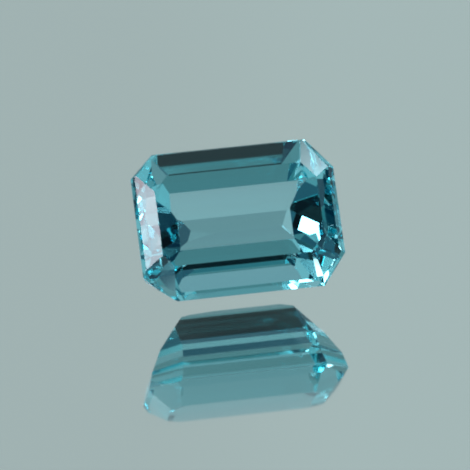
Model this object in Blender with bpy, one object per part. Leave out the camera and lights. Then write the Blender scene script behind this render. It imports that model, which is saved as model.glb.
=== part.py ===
"""Emerald-cut indicolite: one step-cut octagonal gemstone, lying on a pavilion facet."""

import math

import bmesh
import bpy
from mathutils import Matrix, Vector

MM = 0.001

# Outline at the girdle, a thin upright band round the stone
LENGTH = 8.00 * MM
WIDTH = 6.03 * MM
GIRDLE_THICKNESS = 0.02 * MM
TABLE_HEIGHT = 0.84 * MM
DEEPEST = -3.30 * MM

# How far each cut corner reaches along the length and along the width
CORNER_CUTS = {
    "far_left": (0.93 * MM, 0.92 * MM),
    "near_left": (1.04 * MM, 1.07 * MM),
    "near_right": (0.97 * MM, 1.25 * MM),
    "far_right": (0.97 * MM, 1.24 * MM),
}

# Faceting diagram, crown: the step facet's slope from level in degrees, the height in mm at which
# it ends, and the slope of the main facet above it, which runs up to the table
CROWN = {
    "far": (65.25, 0.24, 29.5),
    "near": (59, 0.26, 29.25),
    "left": (59.75, 0.23, 42.25),
    "right": (50, 0.30, 44),
    "far_left": (72.25, 0.29, 27.75),
    "near_left": (49.75, 0.21, 39.25),
    "near_right": (52, 0.14, 36),
    "far_right": (52.5, 0.24, 35.25),
}

# Faceting diagram, pavilion: the slopes of the four tiers from the girdle down, in degrees from
# level, and the depths in mm of the three lines between them
PAVILION = {
    "far": ((81.25, 53.75, 40.5, 12.75), (0.39, 2.18, 3.05)),
    "near": ((72.25, 53, 43, 22.25), (0.51, 1.59, 2.94)),
    "left": ((72.25, 64.25, 52.5, 16.5), (0.62, 1.57, 3.00)),
    "right": ((77.25, 56.5, 54.75, 27), (0.67, 1.48, 2.99)),
    "far_left": ((69.5, 56, 48.75, 9.5), (0.63, 1.61, 3.05)),
    "near_left": ((67.75, 55.75, 51.75, 6.75), (0.49, 1.62, 3.01)),
    "near_right": ((68, 60.25, 46.5, 17), (0.63, 1.56, 2.97)),
    "far_right": ((68.75, 63, 47.25, 7.5), (0.64, 1.90, 3.11)),
}

# Corner facets that were ground a little off square: the turn about the upright axis in degrees,
# of the main crown facet and of the pavilion tiers
CORNER_TURNS = {
    "far_left": (2, -3.5),
    "near_left": (-4.5, 9),
    "near_right": (-2.5, 0),
    "far_right": (3, 3.5),
}
RESTING_SIDE = "near"
RESTING_TIER = 2

BODY_COLOUR = (0.30, 0.62, 0.66, 1.0)
REFRACTIVE_INDEX = 1.63
ROUGH_BLOCK_MARGIN = 1.0 * MM
SAME_POINT = 1e-9


def clear_scene():
    for old in list(bpy.data.objects):
        bpy.data.objects.remove(old, do_unlink=True)


def outline_sides():
    """Each side's name, the middle of its girdle edge and the outward direction it faces."""
    found = [
        ("far", Vector((0, WIDTH / 2)), Vector((0, 1))),
        ("near", Vector((0, -WIDTH / 2)), Vector((0, -1))),
        ("left", Vector((-LENGTH / 2, 0)), Vector((-1, 0))),
        ("right", Vector((LENGTH / 2, 0)), Vector((1, 0))),
    ]
    for name, (along, across) in CORNER_CUTS.items():
        sign_x = -1 if name.endswith("left") else 1
        sign_y = 1 if name.startswith("far") else -1
        middle = Vector((sign_x * (LENGTH - along) / 2, sign_y * (WIDTH - across) / 2))
        facing = Vector((sign_x * across, sign_y * along)).normalized()
        found.append((name, middle, facing))
    return found


def turned(direction, degrees):
    return Matrix.Rotation(math.radians(degrees), 2) @ direction


def grind(stone, place, facing, slope):
    """Takes off everything outside one flat facet through a point, and closes the cut."""
    normal = Vector((facing.x * math.sin(slope), facing.y * math.sin(slope), math.cos(slope)))
    result = bmesh.ops.bisect_plane(
        stone,
        geom=stone.verts[:] + stone.edges[:] + stone.faces[:],
        dist=SAME_POINT,
        plane_co=place,
        plane_no=normal,
        clear_outer=True,
    )
    rim = [item for item in result["geom_cut"] if isinstance(item, bmesh.types.BMEdge)]
    open_rim = [edge for edge in rim if edge.is_boundary]
    if open_rim:
        bmesh.ops.contextual_create(stone, geom=open_rim)


def grind_crown(stone, name, middle, facing):
    step_slope, step_height, main_slope = CROWN[name]
    main_turn = CORNER_TURNS.get(name, (0, 0))[0]
    grind(stone, middle.to_3d(), facing, math.radians(90))
    grind(stone, middle.to_3d(), facing, math.radians(step_slope))
    height = step_height * MM
    inset = height / math.tan(math.radians(step_slope))
    place = (middle - facing * inset).to_3d() + Vector((0, 0, height))
    grind(stone, place, turned(facing, main_turn), math.radians(main_slope))


def grind_pavilion(stone, name, middle, facing):
    slopes, depths = PAVILION[name]
    tier_facing = turned(facing, CORNER_TURNS.get(name, (0, 0))[1])
    height = -GIRDLE_THICKNESS
    inset = 0.0
    for slope, next_height in zip(slopes, [-depth * MM for depth in depths] + [DEEPEST]):
        place = (middle - facing * inset).to_3d() + Vector((0, 0, height))
        grind(stone, place, tier_facing, math.radians(180 - slope))
        inset += (height - next_height) / math.tan(math.radians(slope))
        height = next_height


def rough_block():
    """The block the stone is cut from; its top is the table."""
    stone = bmesh.new()
    bmesh.ops.create_cube(stone, size=1.0)
    depth = TABLE_HEIGHT - DEEPEST + ROUGH_BLOCK_MARGIN
    size = Matrix.Diagonal((LENGTH + ROUGH_BLOCK_MARGIN, WIDTH + ROUGH_BLOCK_MARGIN, depth, 1.0))
    stone.transform(Matrix.Translation((0, 0, TABLE_HEIGHT - depth / 2)) @ size)
    return stone


def lay_on_facet(stone):
    """Tips the stone onto its resting facet and puts the middle of its footprint at the origin."""
    slope = PAVILION[RESTING_SIDE][0][RESTING_TIER]
    stone.transform(Matrix.Rotation(math.radians(slope), 4, "X"))
    lows = [min(v.co[axis] for v in stone.verts) for axis in range(3)]
    highs = [max(v.co[axis] for v in stone.verts) for axis in range(3)]
    middle = Vector(((lows[0] + highs[0]) / 2, (lows[1] + highs[1]) / 2, lows[2]))
    stone.transform(Matrix.Translation(-middle))


def gem_material():
    material = bpy.data.materials.new("indicolite")
    material.use_nodes = True
    shader = material.node_tree.nodes["Principled BSDF"]
    shader.inputs["Base Color"].default_value = BODY_COLOUR
    shader.inputs["Roughness"].default_value = 0.0
    shader.inputs["Metallic"].default_value = 0.0
    shader.inputs["IOR"].default_value = REFRACTIVE_INDEX
    shader.inputs["Transmission Weight"].default_value = 1.0
    material.diffuse_color = BODY_COLOUR
    return material


def make_gemstone():
    stone = rough_block()
    for name, middle, facing in outline_sides():
        grind_crown(stone, name, middle, facing)
        grind_pavilion(stone, name, middle, facing)
    lay_on_facet(stone)
    bmesh.ops.recalc_face_normals(stone, faces=stone.faces)
    mesh = bpy.data.meshes.new("gemstone")
    stone.to_mesh(mesh)
    stone.free()
    mesh.materials.append(gem_material())
    return bpy.data.objects.new("gemstone", mesh)


clear_scene()
parts = bpy.data.collections.new("indicolite_gemstone")
bpy.context.scene.collection.children.link(parts)
parts.objects.link(make_gemstone())
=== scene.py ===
"""A polished emerald-cut indicolite lying on a mirror in a soft-box studio."""
import math

import bmesh
import bpy
from mathutils import Matrix, Vector


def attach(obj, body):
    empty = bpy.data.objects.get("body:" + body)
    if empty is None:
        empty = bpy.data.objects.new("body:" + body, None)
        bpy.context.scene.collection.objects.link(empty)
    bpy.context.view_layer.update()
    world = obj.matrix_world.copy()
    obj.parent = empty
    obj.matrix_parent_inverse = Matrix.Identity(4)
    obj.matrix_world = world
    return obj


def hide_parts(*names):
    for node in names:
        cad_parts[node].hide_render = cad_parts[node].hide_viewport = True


MM = 0.001
IMAGE_PIXELS = 470

# The stone's crystal: the density and colour make red light fade at 98 to the metre along its path,
# green at 8.5 and blue at 2
STONE_IOR = 1.63
ABSORPTION_COLOUR = (0.0, 0.913, 0.980, 1.0)
ABSORPTION_DENSITY = 98.0

# The stone's edges and facets; a facet is the girdle's where the cosine of its angle to the table is
# under the last of these
ROUNDED_EDGE = 0.004 * MM
SHORTEST_ROUNDED = 0.032 * MM
SAME_POINT = 1e-7
SAME_FACET = math.radians(0.5)
SQUARE_TO_TABLE = 0.02

# The stone's girdle, left as it was ground; its grey colour is painted shade that darkens the girdle
# line
GIRDLE_PAINTED_SHADE_COLOUR = (0.45, 0.55, 0.58, 1.0)
GIRDLE_ROUGHNESS = 0.35
GIRDLE_GRAIN_SCALE = 60.0 / MM
GIRDLE_GRAIN_DETAIL = 3.0
GIRDLE_GRAIN_ROUGHNESS = 0.6
GIRDLE_GRAIN_DEPTH = 0.001 * MM
GIRDLE_BUMP = 0.4

# The mirror that the stone lies on: a silvered plate under a clear sheet, which bends no light and is
# about as thick as a mirror's glass looks from the camera
CLEAR_SHEET_IOR = 1.0
CLEAR_SHEET_THICKNESS = 1.304 * MM
CLEAR = (1.0, 1.0, 1.0, 1.0)
SILVER_COLOUR = (0.93, 0.96, 0.95, 1.0)
SILVER_ROUGHNESS = 0.045
MIRROR_SIZE = 1.6
AIR_GAP = 0.01 * MM

# The camera: the height of the point it aims at and its distance along Y, and where that point
# stands in the picture, in pixels right of its middle and below it
AIM_HEIGHT = 2.559 * MM
AIM_ALONG_Y = -0.211 * MM
CAMERA_DISTANCE = 173.318 * MM
CAMERA_ELEVATION = math.radians(30.806)
CAMERA_YAW = math.radians(6.949)
CAMERA_ROLL = math.radians(2.428)
PIXELS_PER_MM = 25.525
FRAME_OFFSET = (3.39, -14.99)
SENSOR_WIDTH = 36.0
CLIP_START = 1.0 * MM
CLIP_END = 10.0

# How wide the lens spreads each point of the picture, in pixels
LENS_SOFTNESS = 2.0

# The plain backdrop, a little lighter towards the right
BACKDROP_LEFT = (0.380, 0.465, 0.468)
BACKDROP_RIGHT = (0.398, 0.494, 0.496)
BACKDROP_SPREAD = math.sin(math.radians(2.0))

# The studio's tones, as the light that each kind of surface sends out
TONES = {
    "wall": (0.345, 0.50, 0.54),
    "light_sheet": (0.26, 0.405, 0.45),
    "pale_sheet": (0.21, 0.33, 0.36),
    "grey_sheet": (0.14, 0.23, 0.245),
    "slate_card": (0.04, 0.095, 0.13),
    "dark_card": (0.0, 0.02, 0.04),
    "black_card": (0.0, 0.0, 0.0),
    "bright_box": (5.2, 6.3, 7.0),
    "lamp": (6.1, 5.6, 6.2),
}

# The studio's sheets, cards and boxes of light round the stone, in whole degrees: the azimuth of the
# left and the right edge, from straight ahead of the camera towards its right, then the height of the
# lower and the upper edge above level; a later one stands in front of an earlier one
SHEETS = (
    (164, 249, 5, 74, "dark_card"),
    (272, 347, 0, 44, "dark_card"),
    (147, 172, 10, 63, "black_card"),
    (298, 330, 48, 63, "bright_box"),
    (281, 327, 4, 39, "grey_sheet"),
    (331, 518, 0, 62, "pale_sheet"),
    (323, 374, 31, 42, "bright_box"),
    (120, 127, 56, 85, "pale_sheet"),
    (96, 146, 3, 70, "slate_card"),
    (247, 252, 3, 14, "bright_box"),
    (334, 450, 28, 54, "wall"),
    (7, 43, 28, 58, "slate_card"),
    (180, 200, 50, 88, "wall"),
    (189, 289, 34, 54, "grey_sheet"),
    (247, 254, 42, 56, "bright_box"),
    (262, 295, 17, 26, "slate_card"),
    (38, 86, 0, 20, "black_card"),
    (295, 346, 51, 60, "slate_card"),
    (359, 484, 32, 51, "grey_sheet"),
    (201, 244, 38, 53, "wall"),
    (106, 143, 12, 39, "wall"),
    (-9, 74, 65, 90, "slate_card"),
    (41, 65, 0, 10, "wall"),
    (208, 264, 16, 29, "wall"),
    (359, 376, 35, 41, "pale_sheet"),
    (63, 101, 40, 64, "pale_sheet"),
    (299, 305, 45, 50, "slate_card"),
    (45, 51, 27, 34, "bright_box"),
    (142, 166, 45, 78, "grey_sheet"),
    (254, 271, 0, 9, "black_card"),
    (304, 310, 29, 33, "bright_box"),
    (187, 218, 67, 75, "dark_card"),
    (197, 214, 32, 40, "bright_box"),
    (150, 172, 57, 67, "slate_card"),
    (155, 178, 3, 8, "slate_card"),
    (354, 374, 54, 59, "light_sheet"),
    (179, 184, 48, 53, "bright_box"),
    (130, 134, 54, 58, "bright_box"),
    (261, 269, 14, 59, "lamp"),
)
SHEET_EDGE = math.radians(1.5)

# A ray by way of the bare mirror alone: how often it crosses the clear sheet's faces and how often it
# is mirrored, both counted in whole numbers
SHEET_CROSSINGS = 4
SILVER_TURNS = 1
SAME_COUNT = 0.5

# The most turns that light takes inside the stone
MOST_TURNS = 40

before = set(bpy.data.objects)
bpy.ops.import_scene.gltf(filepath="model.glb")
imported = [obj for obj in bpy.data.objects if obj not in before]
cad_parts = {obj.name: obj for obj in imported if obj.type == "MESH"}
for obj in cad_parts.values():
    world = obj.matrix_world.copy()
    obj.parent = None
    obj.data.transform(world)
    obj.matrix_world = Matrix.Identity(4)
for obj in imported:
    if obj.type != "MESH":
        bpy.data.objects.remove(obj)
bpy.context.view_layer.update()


def set_inputs(node, inputs):
    """Sets a node's unlinked inputs by name."""
    for name, setting in inputs.items():
        node.inputs[name.replace("_", " ")].default_value = setting


def add_node(tree, kind, **inputs):
    """A new node with the given inputs."""
    node = tree.nodes.new(kind)
    set_inputs(node, inputs)
    return node


def new_material(name, **inputs):
    """A material that is one Principled surface with the given inputs."""
    material = bpy.data.materials.new(name)
    material.use_nodes = True
    set_inputs(material.node_tree.nodes["Principled BSDF"], inputs)
    return material


def crystal(name, **inputs):
    """A clear crystal whose body takes up red light and lets green and blue through."""
    material = new_material(name, IOR=STONE_IOR, Transmission_Weight=1.0, **inputs)
    tree = material.node_tree
    body = add_node(tree, "ShaderNodeVolumeAbsorption", Color=ABSORPTION_COLOUR,
                    Density=ABSORPTION_DENSITY)
    tree.links.new(body.outputs["Volume"], tree.nodes["Material Output"].inputs["Volume"])
    return material


def polished_tourmaline():
    """Clear blue-green crystal with a full polish."""
    return crystal("polished_tourmaline", Roughness=0.0, Base_Color=CLEAR)


def ground_girdle():
    """The girdle is left finely ground, so it scatters a little; its grey tint is painted shade that
    darkens it.
    """
    # grey base colour: painted shade on the girdle, which is paler when ground
    material = crystal("ground_girdle", Roughness=GIRDLE_ROUGHNESS, Base_Color=GIRDLE_PAINTED_SHADE_COLOUR)
    tree = material.node_tree
    place = tree.nodes.new("ShaderNodeTexCoord")
    grain = add_node(tree, "ShaderNodeTexNoise", Scale=GIRDLE_GRAIN_SCALE, Detail=GIRDLE_GRAIN_DETAIL,
                     Roughness=GIRDLE_GRAIN_ROUGHNESS)
    bump = add_node(tree, "ShaderNodeBump", Strength=GIRDLE_BUMP, Distance=GIRDLE_GRAIN_DEPTH)
    tree.links.new(place.outputs["Object"], grain.inputs["Vector"])
    tree.links.new(grain.outputs["Fac"], bump.inputs["Height"])
    tree.links.new(bump.outputs["Normal"], tree.nodes["Principled BSDF"].inputs["Normal"])
    return material


def clear_sheet():
    """The sheet over the silver, clear and bending no light."""
    return new_material("clear_sheet", Roughness=0.0, IOR=CLEAR_SHEET_IOR, Transmission_Weight=1.0,
                        Base_Color=CLEAR)


def mirror_silver():
    """The silvered plate under the clear sheet, a little soft."""
    return new_material("mirror_silver", Roughness=SILVER_ROUGHNESS, Metallic=1.0,
                        Base_Color=SILVER_COLOUR)


def new_object(name, shape, *materials):
    """A mesh object from a bmesh, in the scene, with its materials."""
    mesh = bpy.data.meshes.new(name)
    shape.to_mesh(mesh)
    shape.free()
    for material in materials:
        mesh.materials.append(material)
    obj = bpy.data.objects.new(name, mesh)
    bpy.context.scene.collection.objects.link(obj)
    return obj


def make_mirror():
    """A wide clear sheet with its top at the stone's foot, and a silvered plate under it."""
    sheet = bmesh.new()
    bmesh.ops.create_cube(sheet, size=1.0)
    bmesh.ops.scale(sheet, vec=(MIRROR_SIZE, MIRROR_SIZE, CLEAR_SHEET_THICKNESS), verts=sheet.verts)
    bmesh.ops.translate(sheet, vec=(0.0, 0.0, -CLEAR_SHEET_THICKNESS / 2 - AIR_GAP), verts=sheet.verts)
    silver = bmesh.new()
    bmesh.ops.create_grid(silver, size=MIRROR_SIZE / 2)
    bmesh.ops.translate(silver, vec=(0.0, 0.0, -CLEAR_SHEET_THICKNESS - 2 * AIR_GAP), verts=silver.verts)
    new_object("mirror_clear_sheet", sheet, clear_sheet())
    new_object("mirror_silver_plate", silver, mirror_silver())


def whole_facets():
    """The solid with each facet as one face; the faces square to the table are the girdle's."""
    shape = bmesh.new()
    shape.from_mesh(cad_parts["gemstone"].data)
    bmesh.ops.remove_doubles(shape, verts=shape.verts, dist=SAME_POINT)
    bmesh.ops.dissolve_limit(shape, angle_limit=SAME_FACET, verts=shape.verts, edges=shape.edges)
    bmesh.ops.recalc_face_normals(shape, faces=shape.faces)
    table = max(shape.faces, key=lambda face: face.calc_area()).normal.copy()
    for face in shape.faces:
        face.material_index = int(abs(face.normal.dot(table)) < SQUARE_TO_TABLE)
    return shape


def make_stone():
    """The cut stone: whole facets with finely rounded edges."""
    shape = whole_facets()
    edges = [edge for edge in shape.edges if edge.calc_length() > SHORTEST_ROUNDED]
    bmesh.ops.bevel(shape, geom=edges, offset=ROUNDED_EDGE, segments=1, affect="EDGES",
                    clamp_overlap=True)
    bmesh.ops.recalc_face_normals(shape, faces=shape.faces)
    stone = new_object("cut_stone", shape, polished_tourmaline(), ground_girdle())
    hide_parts("gemstone")
    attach(stone, "root")


def make_camera():
    """A long lens, a little left of square to the stone and turned a little in its mount."""
    aim = Vector((0.0, AIM_ALONG_Y, AIM_HEIGHT))
    look = Vector((math.cos(CAMERA_ELEVATION) * math.sin(CAMERA_YAW),
                   math.cos(CAMERA_ELEVATION) * math.cos(CAMERA_YAW),
                   -math.sin(CAMERA_ELEVATION)))
    level = Vector((math.cos(CAMERA_YAW), -math.sin(CAMERA_YAW), 0.0))
    upright = level.cross(look)
    right = math.cos(CAMERA_ROLL) * level - math.sin(CAMERA_ROLL) * upright
    up = math.sin(CAMERA_ROLL) * level + math.cos(CAMERA_ROLL) * upright
    data = bpy.data.cameras.new("camera")
    data.sensor_width = SENSOR_WIDTH
    focal_pixels = PIXELS_PER_MM * CAMERA_DISTANCE / MM
    data.lens = focal_pixels * SENSOR_WIDTH / IMAGE_PIXELS
    data.clip_start = CLIP_START
    data.clip_end = CLIP_END
    camera = bpy.data.objects.new("camera", data)
    bpy.context.scene.collection.objects.link(camera)
    place = aim - look * CAMERA_DISTANCE
    middle = aim - (right * FRAME_OFFSET[0] - up * FRAME_OFFSET[1]) * (MM / PIXELS_PER_MM)
    back = (place - middle).normalized()
    side = up.cross(back).normalized()
    turned = Matrix((side, back.cross(side), back)).transposed().to_4x4()
    camera.matrix_world = Matrix.Translation(place) @ turned
    bpy.context.scene.camera = camera


def value(tree, operation, *terms):
    """One step of arithmetic in a node; each term is a number or another node's output."""
    node = tree.nodes.new("ShaderNodeMath")
    node.operation = operation
    for socket, term in zip(node.inputs, terms):
        if isinstance(term, (int, float)):
            socket.default_value = term
        else:
            tree.links.new(term, socket)
    return node.outputs[0]


def ramp(tree, distance, start, end):
    """Rises smoothly from nought at the start to one at the end."""
    node = add_node(tree, "ShaderNodeMapRange", From_Min=start, From_Max=end)
    node.interpolation_type = "SMOOTHSTEP"
    tree.links.new(distance, node.inputs["Value"])
    return node.outputs["Result"]


def inside(tree, angle, low, high):
    """One where the angle lies between two edges and nought outside them, with soft edges."""
    half = (high - low) / 2
    offset = value(tree, "SUBTRACT", angle, (low + high) / 2)
    distance = value(tree, "ABSOLUTE", value(tree, "WRAP", offset, math.pi, -math.pi))
    return ramp(tree, distance, half + SHEET_EDGE / 2, half - SHEET_EDGE / 2)


def mixed(tree, factor, first, second):
    """A blend from the first colour to the second."""
    node = tree.nodes.new("ShaderNodeMix")
    node.data_type = "RGBA"
    tree.links.new(factor, node.inputs["Factor"])
    for socket, colour in ((node.inputs["A"], first), (node.inputs["B"], second)):
        if isinstance(colour, tuple):
            socket.default_value = colour + (1.0,)
        else:
            tree.links.new(colour, socket)
    return node.outputs["Result"]


def sheet_light(tree, azimuth, elevation):
    """The light that comes from each direction: the sheets in front of the studio's wall."""
    light = TONES["wall"]
    for left, right, low, high, tone in SHEETS:
        across = inside(tree, azimuth, math.radians(left) + CAMERA_YAW, math.radians(right) + CAMERA_YAW)
        upwards = inside(tree, elevation, math.radians(low), math.radians(high))
        light = mixed(tree, value(tree, "MULTIPLY", across, upwards), light, TONES[tone])
    return light


def bare_mirror(tree):
    """One for rays that reach the backdrop straight, or by way of the bare mirror alone.

    A ray that goes through the clear sheet to the silver and back crosses its faces four times and
    is mirrored once, which no ray from the stone does.
    """
    path = tree.nodes.new("ShaderNodeLightPath")
    crossings = path.outputs["Transmission Depth"]
    through_sheet = value(tree, "COMPARE", crossings, SHEET_CROSSINGS, SAME_COUNT)
    off_silver = value(tree, "COMPARE", path.outputs["Glossy Depth"], SILVER_TURNS, SAME_COUNT)
    by_mirror = value(tree, "MULTIPLY", through_sheet, off_silver)
    return value(tree, "MAXIMUM", path.outputs["Is Camera Ray"], by_mirror)


def make_studio():
    """Sheets, cards and lamps all round the stone, and a plain backdrop for the bare mirror."""
    world = bpy.data.worlds.new("soft_box_studio")
    bpy.context.scene.world = world
    world.use_nodes = True
    tree = world.node_tree
    direction = tree.nodes.new("ShaderNodeSeparateXYZ")
    tree.links.new(tree.nodes.new("ShaderNodeTexCoord").outputs["Generated"], direction.inputs[0])
    azimuth = value(tree, "ARCTAN2", direction.outputs["X"], direction.outputs["Y"])
    elevation = value(tree, "ARCSINE", direction.outputs["Z"])
    light = sheet_light(tree, azimuth, elevation)
    across = value(tree, "SINE", value(tree, "SUBTRACT", azimuth, CAMERA_YAW))
    backdrop = mixed(tree, ramp(tree, across, -BACKDROP_SPREAD, BACKDROP_SPREAD),
                     BACKDROP_LEFT, BACKDROP_RIGHT)
    light = mixed(tree, bare_mirror(tree), light, backdrop)
    tree.links.new(light, tree.nodes["Background"].inputs["Color"])


def set_light_paths():
    """Enough turns for light that goes many times round inside the stone."""
    bpy.context.scene.world.cycles.sampling_method = "NONE"
    cycles = bpy.context.scene.cycles
    cycles.max_bounces = MOST_TURNS
    cycles.glossy_bounces = MOST_TURNS
    cycles.transmission_bounces = MOST_TURNS


def set_picture():
    """Plain tones and slightly soft edges."""
    bpy.context.scene.cycles.filter_width = LENS_SOFTNESS
    bpy.context.scene.view_settings.view_transform = "Standard"


make_mirror()
make_stone()
make_camera()
make_studio()
set_light_paths()
set_picture()
